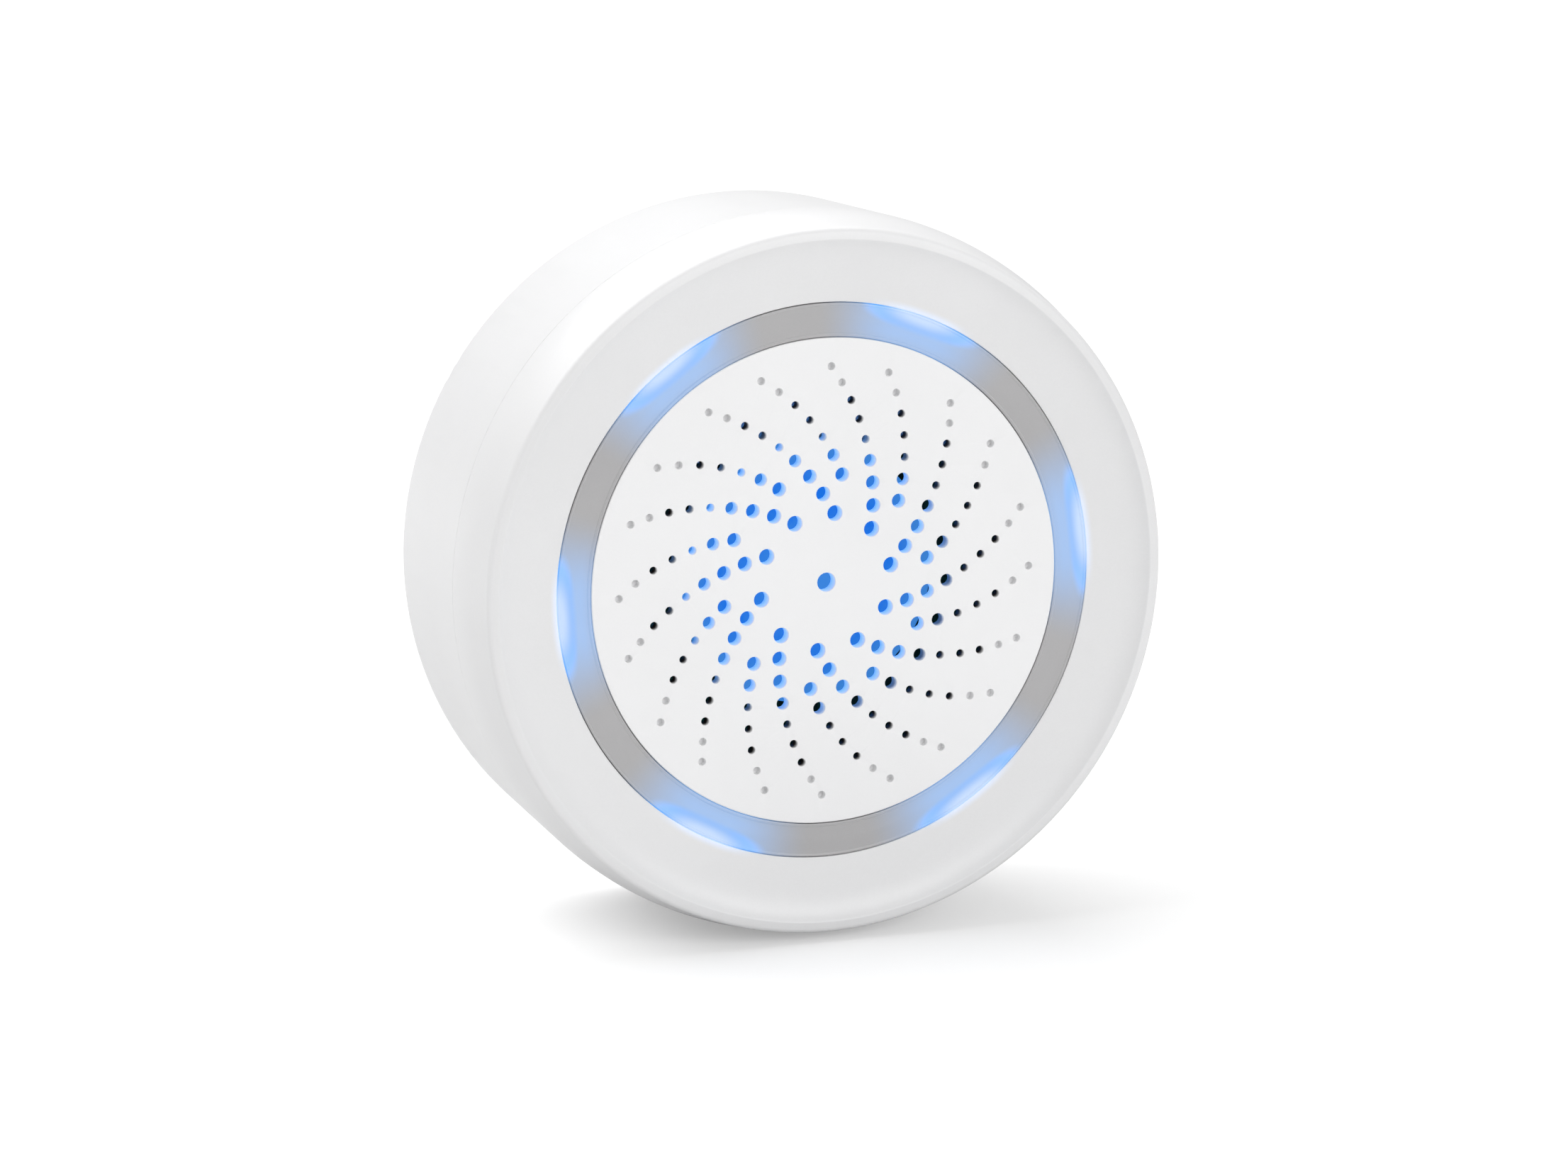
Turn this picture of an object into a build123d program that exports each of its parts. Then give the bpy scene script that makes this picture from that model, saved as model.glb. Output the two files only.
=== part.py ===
from build123d import *
import os
from math import cos, hypot, radians, sin, sqrt

# Round indoor alarm siren on a twist-lock wall bracket. Millimetres.
# The front faces -Y, the wall is the plane y = 0 behind it, +Z is up, and the
# origin is on the axis of the siren, in the wall plane.

# Overall shape
outer_diameter = 80.0        # widest point, at the seam between bezel and rear body
body_depth = 30.8            # wall plane to the face of the grille
rim_rise = 1.6               # crest of the rim in front of the grille
rim_inset = 2.4              # crest of the rim inside the widest point
bezel_side = 7.7             # face of the grille back to the seam
dish_start = 0.08            # dished ring starts this far behind the face of the grille
rim_bevel = (1.3, 0.75)      # crest to bevel: outwards and backwards
shoulder = (0.6, 1.9)        # start of the side: inside the widest point, behind the face
rim_rounds = (0.5, 0.8, 4.0) # rounding of the crest, the bevel and the shoulder
back_taper = 0.85            # how much smaller the radius is at the back edge
back_round = 1.6             # rounding of the back edge
wall_gap = 0.3               # the rear body stops this far short of the wall
side_wall = 2.8              # side wall at the seam
lip_depth = 3.0              # bezel lip that goes inside the rear body
lip_thickness = 1.1

# Light ring and grille
ring_outer_radius = 30.62
ring_width = 3.7
ring_gap = 0.08              # visible gap on both sides of the light ring
ring_thickness = 3.0
ring_flange = 1.0            # thickness of the flange that holds the ring from behind
ring_flange_lip = 1.3        # how far the flange goes under its neighbours
ring_edge = 0.25             # chamfer on the ring's visible edges
grille_thickness = 1.5
grille_edge = 0.15
arm_pairs = 10               # a long and a short spiral arm each
arm_pitch = 18.0             # degrees from a long arm to the next short one
long_arm = dict(centre=(2.20, 21.55), radius=25.25, start=-79.3, step=5.87, shrink=0.12)
short_arm = dict(centre=(4.05, 17.97), radius=21.23, start=-68.7, step=6.53, shrink=0.0)
long_hole_radii = [0.86, 0.80, 0.77, 0.69, 0.44, 0.44, 0.44]
short_hole_radii = [0.77, 0.69, 0.44, 0.42, 0.42]
dimple_radius = 0.42
dimple_depth = 0.32
dimples_per_arm = 2
centre_hole_radius = 1.05

# Lights
led_pairs = 6
led_pair_start = 6.0         # angle of the first pair, degrees
led_half_spread = 9.0        # each light from the middle of its pair, degrees
led_width, led_length, led_height = 2.8, 3.5, 1.0
led_clearance = 0.35
reflector_depth = 2.2
reflector_floor = 0.6
reflector_wall = 0.9
reflector_opening = 5.0      # degrees that the inner wall is open beyond each light
led_board_thickness = 1.0
resistor_size = (1.2, 2.0, 0.5)
led_board_inner_radius = 24.0

# Sounder
sounder_setback = 6.2        # face of the grille back to the sounder's cap
sounder_cap_radius = 14.6
sounder_can_radius = 12.0
sounder_wall = 1.2
sounder_cap_depth = 2.0
sound_hole_radius = 1.5
diaphragm_thickness = 0.3
ceramic_thickness = 0.25
gasket_thickness = 0.6

# Back, boards and fixings
recess_depth = 4.2           # wall plane to the floor of the bracket recess
recess_rim = 1.6             # recess radius inside the rear body's inner radius
back_wall = 1.4
component_room = 10.4        # rear body's floor to the main board
board_thickness = 1.6
boss_inset = 2.3             # screw axis inside the inner wall
bezel_boss_radius = 2.1
post_radius = 2.9
well_radius = 2.3
well_depth = 4.8
screw_radius = 1.1
screw_head_radius = 2.0
screw_head_height = 1.6
screw_length = 11.0
boss_joint = 14.0            # wall plane to the meeting of boss and post
thread_clearance = 0.02
slip = 0.1                   # gap between plain faces that only meet
board_post = (22.0, -14.0)
board_post_radius = 2.4
board_screw_radius = 0.9
board_screw_head = (1.8, 1.2)
spacer_radius = 2.0
spacer_circle = 28.2
spacer_angles = (200, 235, 340)

# Components on the back of the main board: (x, z) of the middle or of the lower corner
header_pitch = 2.54
header_pins = 4
pin_half = 0.32
sounder_pin_x, sounder_pin_z = 5.0, -8.0
sounder_pin_radius = 0.4
radio_corner, radio_size = (-19.3, -24.0), (13.0, 18.0)
shield_margin = (0.9, 6.0)   # board's edge to the shield: at the sides, and below for the aerial
radio_board_thickness = 0.8
shield_height = 2.0
controller_corner, controller_side = (5.0, -19.0), 6.0
controller_legs = 6
coil_place, coil_radius, coil_waist = (14.0, 4.0), 4.0, 2.6
capacitor_place, capacitor_radius = (-13.5, 5.0), 3.15
chip_start, chip_pitch, chip_rows = 1.5, 2.6, (-10.0, -23.4)
chip_size = (1.6, 0.6, 0.8)

# Backup cell and its bay
cell_radius = 8.4
cell_length = 34.5
cell_cap_radius = 3.2
cell_cap_height = 1.2
bay_clearance = 0.4
bay_wall = 1.2
bay_gap_positive = 1.0
bay_gap_negative = 2.6
contact_thickness = 0.4
contact_width = 8.0
contact_leg_width = 2.0

# Push parts
plunger_radius = 2.2
plunger_stem_radius = 1.2
plunger_flange_radius = 3.4
plunger_flange = 1.0
plunger_proud = 1.0          # tip behind the wall plane when free
plunger_travel = 1.2
plunger_guide = 1.6
tamper_switch_size = 6.4
tamper_switch_height = 4.2
spring_wire_radius = 0.18
spring_turns = 4.5
push_clearance = 0.2
button_x = 13.0
button_radius = 2.4
button_flange_radius = 3.1
button_flange = 0.8
button_proud = 1.2
button_travel = 0.5
tact_size = (6.0, 3.6, 3.4)
tact_setback = 3.0           # guide's end to the switch
actuator_radius = 0.9
actuator_bore = 1.0

# Power inlet
usb_width = 7.5
usb_height = 2.8
usb_length = 5.6
usb_shell = 0.3
usb_inset = 0.3              # mouth inside the outer wall
tongue_half_width = 5.5

# Wall bracket
bracket_thickness = 2.4
bracket_clearance = 1.7      # plate edge inside the recess
tab_reach = 1.3
tab_thickness = 1.1
tab_half_angle = 9.0
lug_thickness = 0.8
lug_overlap = 1.0
stop_angle = 2.5
screw_slot_spacing = 44.0
screw_slot_radius = 2.1
screw_slot_length = 8.4
head_seat = 1.2
bracket_hole_radius = 3.9

# Derived levels along Y (front is negative) and radii
face_y = -body_depth
seam_y = face_y + bezel_side
plate_back_y = face_y + ring_thickness - ring_flange
flange_back_y = face_y + ring_thickness
reflector_back_y = flange_back_y + reflector_depth
led_board_back_y = reflector_back_y + led_board_thickness
sounder_front_y = face_y + sounder_setback
can_flange_y = sounder_front_y + sounder_cap_depth
floor_y = -recess_depth
floor_inner_y = floor_y - back_wall
board_rear_y = floor_inner_y - component_room
board_front_y = board_rear_y - board_thickness
rear_y = -wall_gap
outer_radius = outer_diameter / 2
inner_radius = outer_radius - side_wall
crest_radius = outer_radius - rim_inset
recess_radius = inner_radius - recess_rim
boss_circle = inner_radius - boss_inset
boss_angles = (45, 135, 225, 315)
main_board_radius = boss_circle - post_radius - 0.4
led_board_radius = boss_circle - bezel_boss_radius - 0.4
ring_inner_radius = ring_outer_radius - ring_width
grille_radius = ring_inner_radius - ring_gap
bezel_inner_radius = ring_outer_radius + ring_gap
flange_inner_radius = ring_inner_radius - ring_flange_lip
flange_outer_radius = ring_outer_radius + ring_flange_lip
led_circle = (ring_inner_radius + ring_outer_radius) / 2
cell_z = sounder_can_radius + 0.2 + bay_wall + bay_clearance + cell_radius
cell_y = -bracket_thickness - bay_clearance - cell_radius
bay_x0 = -cell_length / 2 - bay_gap_negative
bay_x1 = cell_length / 2 + bay_gap_positive
bay_z0 = cell_z - cell_radius - bay_clearance
bay_z1 = cell_z + cell_radius + bay_clearance
bay_y0 = cell_y - cell_radius - bay_clearance
button_y = board_rear_y + tact_size[1] / 2
button_guide_z = -sqrt(inner_radius ** 2 - (button_x + button_flange_radius) ** 2) + 0.2
tact_face_z = button_guide_z + tact_setback
bracket_radius = recess_radius - bracket_clearance


def polar(radius, degrees):
    return radius * cos(radians(degrees)), radius * sin(radians(degrees))


def side_radius(y):
    """Outer radius of the rear body at depth y."""
    return outer_radius - back_taper * (y - seam_y) / (rear_y - seam_y)


def rod(radius, y0, y1, x=0.0, z=0.0):
    """Cylinder along Y."""
    return Pos(x, (y0 + y1) / 2, z) * Rot(X=90) * Cylinder(radius, abs(y1 - y0))


def ring(outer, inner, y0, y1, x=0.0, z=0.0):
    return rod(outer, y0, y1, x, z) - rod(inner, y0 - 1, y1 + 1, x, z)


def rod_z(radius, z0, z1, x, y):
    return Pos(x, y, (z0 + z1) / 2) * Cylinder(radius, abs(z1 - z0))


def rod_x(radius, x0, x1, y, z):
    return Pos((x0 + x1) / 2, y, z) * Rot(Y=90) * Cylinder(radius, abs(x1 - x0))


def block(x0, x1, y0, y1, z0, z1):
    return Pos((x0 + x1) / 2, (y0 + y1) / 2, (z0 + z1) / 2) * Box(x1 - x0, y1 - y0, z1 - z0)


def turned(points, rounds=()):
    """Solid of revolution about Y from (radius, y) points; rounds pairs a point's index with a radius."""
    face = make_face(Polyline(*points, close=True))
    for index, radius in rounds:
        corner = min(face.vertices(), key=lambda v: hypot(v.X - points[index][0], v.Y - points[index][1]))
        face = fillet(corner, radius)
    return revolve(face, Axis.Y)


def sector(outer, inner, y0, y1, middle, half_angle):
    """Piece of a ring, seen from the front, around the angle `middle` in degrees."""
    arc_out = ThreePointArc(*[polar(outer, middle + a) for a in (-half_angle, 0, half_angle)])
    arc_in = ThreePointArc(*[polar(inner, middle + a) for a in (half_angle, 0, -half_angle)])
    outline = [arc_out, Line(arc_out @ 1, arc_in @ 0), arc_in, Line(arc_in @ 1, arc_out @ 0)]
    face = Plane.XZ * make_face(outline)
    return Pos(0, y1, 0) * extrude(face, y1 - y0)


def arm_points(arm, count, turn):
    """Hole centres of one spiral arm: points on a circular arc, then turned about the axis."""
    angle, step, points = arm["start"], arm["step"], []
    for _ in range(count):
        x = arm["centre"][0] + arm["radius"] * cos(radians(angle))
        z = arm["centre"][1] + arm["radius"] * sin(radians(angle))
        c, s = cos(radians(turn)), sin(radians(turn))
        points.append((x * c - z * s, x * s + z * c))
        angle, step = angle + step, step - arm["shrink"]
    return points


def boss_places():
    return [polar(boss_circle, a) for a in boss_angles]


def front_bezel():
    """Dished front ring with a rounded rim, an outer side that widens to the seam, and a lip inside."""
    lip_outer = inner_radius + lip_thickness
    body = turned(
        [
            (bezel_inner_radius, plate_back_y),
            (bezel_inner_radius, face_y + dish_start),
            (crest_radius, face_y - rim_rise),
            (crest_radius + rim_bevel[0], face_y - rim_rise + rim_bevel[1]),
            (outer_radius - shoulder[0], face_y + shoulder[1]),
            (outer_radius, seam_y - slip / 2),
            (lip_outer, seam_y - slip / 2),
            (lip_outer, seam_y + lip_depth),
            (inner_radius, seam_y + lip_depth),
            (inner_radius, plate_back_y),
        ],
        rounds=list(zip((2, 3, 4), rim_rounds)),
    )
    for x, z in boss_places():
        body += rod(bezel_boss_radius, plate_back_y - 0.5, -boss_joint, x, z)
        pilot_end = -boss_joint - screw_length
        body -= rod(screw_radius + thread_clearance, pilot_end, -boss_joint + 1, x, z)
    return body


def light_ring():
    """Translucent ring, flush with the front, held from behind by its flange."""
    return turned(
        [
            (flange_inner_radius, flange_back_y),
            (flange_inner_radius, plate_back_y),
            (ring_inner_radius, plate_back_y),
            (ring_inner_radius, face_y + ring_edge),
            (ring_inner_radius + ring_edge, face_y),
            (ring_outer_radius - ring_edge, face_y),
            (ring_outer_radius, face_y + ring_edge),
            (ring_outer_radius, plate_back_y),
            (flange_outer_radius, plate_back_y),
            (flange_outer_radius, flange_back_y),
        ]
    )


def grille_disc():
    """Perforated front panel: 10 long and 10 short spiral arms of holes that end in blind dimples."""
    disc = turned(
        [
            (0, face_y),
            (grille_radius - grille_edge, face_y),
            (grille_radius, face_y + grille_edge),
            (grille_radius, plate_back_y),
            (flange_inner_radius, plate_back_y),
            (flange_inner_radius, face_y + grille_thickness),
            (0, face_y + grille_thickness),
        ]
    )
    tools = [rod(centre_hole_radius, face_y - 1, plate_back_y)]
    sphere = (dimple_radius ** 2 + dimple_depth ** 2) / (2 * dimple_depth)
    for pair in range(arm_pairs):
        for arm, radii, turn in ((long_arm, long_hole_radii, 0), (short_arm, short_hole_radii, arm_pitch)):
            places = arm_points(arm, len(radii) + dimples_per_arm, turn + 2 * arm_pitch * pair)
            for (x, z), radius in zip(places, radii):
                tools.append(rod(radius, face_y - 1, plate_back_y, x, z))
            for x, z in places[len(radii):]:
                tools.append(Pos(x, face_y + dimple_depth - sphere, z) * Sphere(sphere))
    return disc.cut(*tools)


def pair_angles():
    """Middle of each pair of lights, in degrees."""
    return [led_pair_start + 360 / led_pairs * n for n in range(led_pairs)]


def led_angles():
    return [middle + side * led_half_spread for middle in pair_angles() for side in (-1, 1)]


def on_led(angle, size_r, size_t, y0, y1):
    """Box on the LED circle, its first size along the radius."""
    x, z = polar(led_circle, angle)
    return Pos(x, (y0 + y1) / 2, z) * Rot(Y=-angle) * Box(size_r, y1 - y0, size_t)


def reflector_ring():
    """White channel behind the light ring; its inner wall is open at each pair of lights."""
    y0, y1 = flange_back_y, reflector_back_y
    body = ring(flange_outer_radius, flange_inner_radius, y0, y1)
    body -= ring(flange_outer_radius - reflector_wall, flange_inner_radius + reflector_wall,
                 y0 - 1, y1 - reflector_floor)
    for middle in pair_angles():
        opening = sector(flange_inner_radius + reflector_wall + 0.3, flange_inner_radius - 1,
                         y0 - 1, y1 - reflector_floor, middle, led_half_spread + reflector_opening)
        body -= opening
    for angle in led_angles():
        width, length = led_width + 2 * led_clearance, led_length + 2 * led_clearance
        body -= on_led(angle, width, length, y0, y1 + 1)
    return body


def led_board():
    return ring(led_board_radius, led_board_inner_radius, reflector_back_y, led_board_back_y)


def blue_leds():
    lights = [
        on_led(angle, led_width, led_length, reflector_back_y - led_height, reflector_back_y)
        for angle in led_angles()
    ]
    return Compound(children=lights)


def led_resistors():
    """One small resistor for each pair of lights, on the back of the LED board."""
    width, length, height = resistor_size
    back = led_board_back_y
    chips = [on_led(angle, width, length, back, back + height) for angle in pair_angles()]
    return Compound(children=chips)


def board_spacers():
    posts = []
    for angle in spacer_angles:
        x, z = polar(spacer_circle, angle)
        posts.append(rod(spacer_radius, led_board_back_y, board_front_y, x, z))
    return Compound(children=posts)


def pin_header():
    """Header that joins the two boards."""
    z, length = -spacer_circle, header_pins * header_pitch
    body = block(-length / 2, length / 2, board_front_y - 2.5, board_front_y, z - 1.25, z + 1.25)
    for n in range(header_pins):
        x = header_pitch * (n - (header_pins - 1) / 2)
        body += block(x - pin_half, x + pin_half, led_board_back_y, board_front_y - 2.4,
                      z - pin_half, z + pin_half)
    return body


def sounder_cap():
    cavity = sounder_cap_radius - sounder_wall
    cap = rod(sounder_cap_radius, sounder_front_y, can_flange_y)
    cap -= rod(cavity, can_flange_y - gasket_thickness - diaphragm_thickness, can_flange_y + 1)
    return cap - rod(sound_hole_radius, sounder_front_y - 1, can_flange_y)


def sounder_gasket():
    cavity = sounder_cap_radius - sounder_wall
    y1 = can_flange_y - diaphragm_thickness
    return ring(cavity, cavity - 1.5, y1 - gasket_thickness, y1)


def piezo_plate():
    cavity = sounder_cap_radius - sounder_wall
    return rod(cavity - 0.1, can_flange_y - diaphragm_thickness, can_flange_y)


def piezo_ceramic():
    radius = sounder_can_radius - sounder_wall - 1.3
    return rod(radius, can_flange_y, can_flange_y + ceramic_thickness)


def sounder_can():
    """Resonance chamber behind the diaphragm, with a flange for the cap."""
    bore = sounder_can_radius - sounder_wall
    can = rod(sounder_can_radius, can_flange_y, board_front_y)
    can += rod(sounder_cap_radius, can_flange_y, can_flange_y + 0.8)
    return can - rod(bore, can_flange_y - 1, board_front_y - 1.0)


def sounder_pins():
    pins = [
        rod(sounder_pin_radius, board_front_y, board_rear_y + 0.8, side * sounder_pin_x, sounder_pin_z)
        for side in (-1, 1)
    ]
    return Compound(children=pins)


def main_board():
    """Round board with a straight top edge below the cell bay and a tongue for the power inlet."""
    board = rod(main_board_radius, board_front_y, board_rear_y)
    board -= block(-outer_radius, outer_radius, board_front_y - 1, board_rear_y + 1,
                   bay_z0 - bay_wall - 0.2, outer_radius)
    tongue_end = -sqrt(inner_radius ** 2 - tongue_half_width ** 2) + 0.4
    board += block(-tongue_half_width, tongue_half_width, board_front_y, board_rear_y,
                   tongue_end, -main_board_radius + 2)
    for side in (-1, 1):
        board -= rod(sounder_pin_radius + 0.05, board_front_y - 1, board_rear_y + 1,
                     side * sounder_pin_x, sounder_pin_z)
        board -= rod(board_screw_radius + 0.2, board_front_y - 1, board_rear_y + 1,
                     side * board_post[0], board_post[1])
    return board


def board_screws():
    radius, height = board_screw_head
    screws = []
    for side in (-1, 1):
        x, z = side * board_post[0], board_post[1]
        head = rod(radius, board_front_y - height, board_front_y, x, z)
        screws.append(head + rod(board_screw_radius, board_front_y - 0.1, board_rear_y + 6.0, x, z))
    return Compound(children=screws)


def radio_board():
    (x, z), (width, height) = radio_corner, radio_size
    return block(x, x + width, board_rear_y, board_rear_y + radio_board_thickness, z, z + height)


def radio_shield():
    """Metal can over the radio board, clear of its aerial end."""
    y = board_rear_y + radio_board_thickness
    (x, z), (width, height), (side, aerial) = radio_corner, radio_size, shield_margin
    return block(x + side, x + width - side, y, y + shield_height, z + aerial, z + height - 1)


def controller_chip():
    """Square chip with a row of legs on two sides."""
    y = board_rear_y
    (x, z), side = controller_corner, controller_side
    body = block(x, x + side, y, y + 1.1, z, z + side)
    pitch = side / (controller_legs + 1)
    for n in range(1, controller_legs + 1):
        leg_z = z + n * pitch
        body += block(x - 0.7, x + side + 0.7, y, y + 0.25, leg_z - 0.17, leg_z + 0.17)
    return body


def boost_coil():
    """Step-up coil that drives the piezo disc."""
    y = board_rear_y
    x, z = coil_place
    coil = rod(coil_radius, y, y + 1.2, x, z) + rod(coil_waist, y + 1.1, y + 5.6, x, z)
    return coil + rod(coil_radius, y + 5.5, y + 6.7, x, z)


def bulk_capacitor():
    """Can with the crimped groove near its foot."""
    y = board_rear_y
    can = rod(capacitor_radius, y, y + 7.0, *capacitor_place)
    return can - ring(capacitor_radius + 1, capacitor_radius - 0.25, y + 1.2, y + 1.8, *capacitor_place)


def chip_parts():
    """Small two-terminal parts in two rows beside the controller."""
    length, height, width = chip_size
    chips = []
    for n in range(5):
        x = chip_start + chip_pitch * n
        for z in chip_rows:
            chips.append(block(x, x + length, board_rear_y, board_rear_y + height, z, z + width))
    return Compound(children=chips)


def usb_mouth_z():
    return -sqrt(side_radius(board_rear_y) ** 2 - (usb_width / 2) ** 2) + usb_inset


def usb_socket():
    z0 = usb_mouth_z()
    y0, y1 = board_rear_y, board_rear_y + usb_height
    shell = block(-usb_width / 2, usb_width / 2, y0, y1, z0, z0 + usb_length)
    return shell - block(-usb_width / 2 + usb_shell, usb_width / 2 - usb_shell,
                         y0 + usb_shell, y1 - usb_shell, z0 - 1, z0 + usb_length - 0.8)


def usb_tongue():
    z0 = usb_mouth_z()
    middle = board_rear_y + usb_height / 2
    return block(-usb_width / 2 + 1.4, usb_width / 2 - 1.4, middle - 0.3, middle + 0.3,
                 z0 + 0.9, z0 + usb_length - 0.8)


def tact_switch():
    width, height, depth = tact_size
    z0 = tact_face_z
    body = block(button_x - width / 2, button_x + width / 2, board_rear_y, board_rear_y + height,
                 z0, z0 + depth)
    return body - rod_z(actuator_bore, z0 - 1, z0 + 1.9, button_x, button_y)


def tact_actuator():
    return rod_z(actuator_radius, tact_face_z - 0.8, tact_face_z + 1.0, button_x, button_y)


def setup_button():
    """Push button in the bottom wall, with a flange that keeps it in and a stem to its switch."""
    outer_z = -sqrt(side_radius(button_y) ** 2 - button_x ** 2) - button_proud
    flange_z = button_guide_z + 0.05
    body = rod_z(button_radius, outer_z, flange_z + 0.1, button_x, button_y)
    rim = body.edges().filter_by(GeomType.CIRCLE).sort_by(Axis.Z)[0]
    body = fillet(rim, 0.5)
    body += rod_z(button_flange_radius, flange_z, flange_z + button_flange, button_x, button_y)
    return body + rod_z(actuator_radius + 0.4, flange_z, tact_face_z - 0.8, button_x, button_y)


def tamper_switch():
    half = tamper_switch_size / 2
    y1 = board_rear_y + tamper_switch_height
    body = block(-half, half, board_rear_y, y1, -half, half)
    return body - rod(plunger_stem_radius + 0.1, y1 - 2.8, y1 + 1)


def tamper_plunger():
    """Pin that the wall pushes in when the siren hangs on it."""
    flange_y = floor_inner_y - plunger_guide - 0.05
    body = rod(plunger_radius, flange_y - 0.1, plunger_proud)
    tip = body.edges().filter_by(GeomType.CIRCLE).sort_by(Axis.Y)[-1]
    body = fillet(tip, 0.9)
    body += rod(plunger_flange_radius, flange_y - plunger_flange, flange_y)
    stem_end = board_rear_y + tamper_switch_height - 1.1
    return body + rod(plunger_stem_radius, stem_end, flange_y)


def tamper_spring():
    """Coil spring between the plunger's flange and its switch."""
    y0 = board_rear_y + tamper_switch_height + spring_wire_radius + 0.05
    y1 = floor_inner_y - plunger_guide - plunger_flange - 0.05 - spring_wire_radius - 0.05
    height = y1 - y0
    radius = plunger_stem_radius + spring_wire_radius + 0.45
    path = Helix(pitch=height / spring_turns, height=height, radius=radius)
    wire = Plane(origin=path @ 0, z_dir=path % 0) * Circle(spring_wire_radius)
    coil = sweep(wire, path=path, is_frenet=True)
    return Pos(0, y1, 0) * Rot(X=90) * coil


def backup_cell():
    """Cell body with a shallow shoulder at the positive end."""
    x0, x1 = -cell_length / 2, cell_length / 2 - cell_cap_height
    body = rod_x(cell_radius - 0.1, x0, x1, cell_y, cell_z)
    return chamfer(body.edges().filter_by(GeomType.CIRCLE), 0.4)


def cell_sleeve():
    """Printed shrink sleeve around the cell."""
    x0, x1 = -cell_length / 2 + 0.6, cell_length / 2 - cell_cap_height - 0.6
    outer = rod_x(cell_radius, x0, x1, cell_y, cell_z)
    return outer - rod_x(cell_radius - 0.1, x0 - 1, x1 + 1, cell_y, cell_z)


def cell_cap():
    x1 = cell_length / 2
    return rod_x(cell_cap_radius, x1 - cell_cap_height, x1, cell_y, cell_z)


def contact_leg(x0):
    """Strip from a contact plate through the bay's lower wall onto the main board."""
    x1, top = x0 + contact_thickness, bay_z0 + 3.0
    leg = block(x0, x1, board_rear_y, board_rear_y + contact_leg_width, bay_z0 - bay_wall - 2.0, top)
    return leg + block(x0, x1, board_rear_y + 1.0, cell_y, bay_z0 + 0.5, top)


def contact_plate(x0):
    half = contact_width / 2
    plate = block(x0, x0 + contact_thickness, cell_y - half, cell_y + half, bay_z0 + 0.5, bay_z1 - 3.0)
    return plate + contact_leg(x0)


def positive_contact():
    x0 = bay_x1 - contact_thickness
    return contact_plate(x0) + rod_x(1.5, cell_length / 2, x0 + 0.1, cell_y, cell_z)


def negative_contact():
    return contact_plate(bay_x0)


def negative_spring():
    """Cone-shaped coil that presses on the flat end of the cell."""
    wire_radius = 0.3
    x0 = bay_x0 + contact_thickness + wire_radius + 0.02
    x1 = -cell_length / 2 - wire_radius - 0.02
    height = x1 - x0
    path = Helix(pitch=height / 2.5, height=height, radius=4.6, cone_angle=-50)
    wire = Plane(origin=path @ 0, z_dir=path % 0) * Circle(wire_radius)
    coil = sweep(wire, path=path, is_frenet=True)
    return Pos(x0, cell_y, cell_z) * Rot(Y=90) * coil


def cell_bay():
    """Walls of the cell bay, open to the back."""
    outer = block(bay_x0 - bay_wall, bay_x1 + bay_wall, bay_y0 - bay_wall, floor_inner_y + 0.5,
                  bay_z0 - bay_wall, bay_z1 + bay_wall)
    behind_lip = rod(inner_radius + 0.5, seam_y + lip_depth + slip, 0)
    return outer & (rod(inner_radius - slip, bay_y0 - 5, 0) + behind_lip)


def rear_shell():
    """Tapered cup with the bracket recess in its back and a rebate for the bezel's lip."""
    rebate = inner_radius + lip_thickness + slip
    cup = turned(
        [
            (rebate, seam_y + slip / 2),
            (outer_radius, seam_y + slip / 2),
            (outer_radius - back_taper, rear_y),
            (recess_radius, rear_y),
            (recess_radius, floor_y),
            (0, floor_y),
            (0, floor_inner_y),
            (inner_radius, floor_inner_y),
            (inner_radius, seam_y + lip_depth + slip),
            (rebate, seam_y + lip_depth + slip),
        ],
        rounds=[(2, back_round)],
    )
    return cup


def bracket_lugs():
    """Four inward lugs that hook behind the bracket's tabs, each with an end stop."""
    lugs = []
    inner = bracket_radius + tab_reach - lug_overlap
    for middle in (0, 90, 180, 270):
        y0 = rear_y - lug_thickness
        lugs.append(sector(recess_radius + 0.5, inner, y0, rear_y, middle, tab_half_angle))
        stop = middle + tab_half_angle + 0.5 + stop_angle / 2
        lugs.append(sector(recess_radius + 0.5, inner, -bracket_thickness, rear_y, stop, stop_angle / 2))
    return lugs


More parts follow.
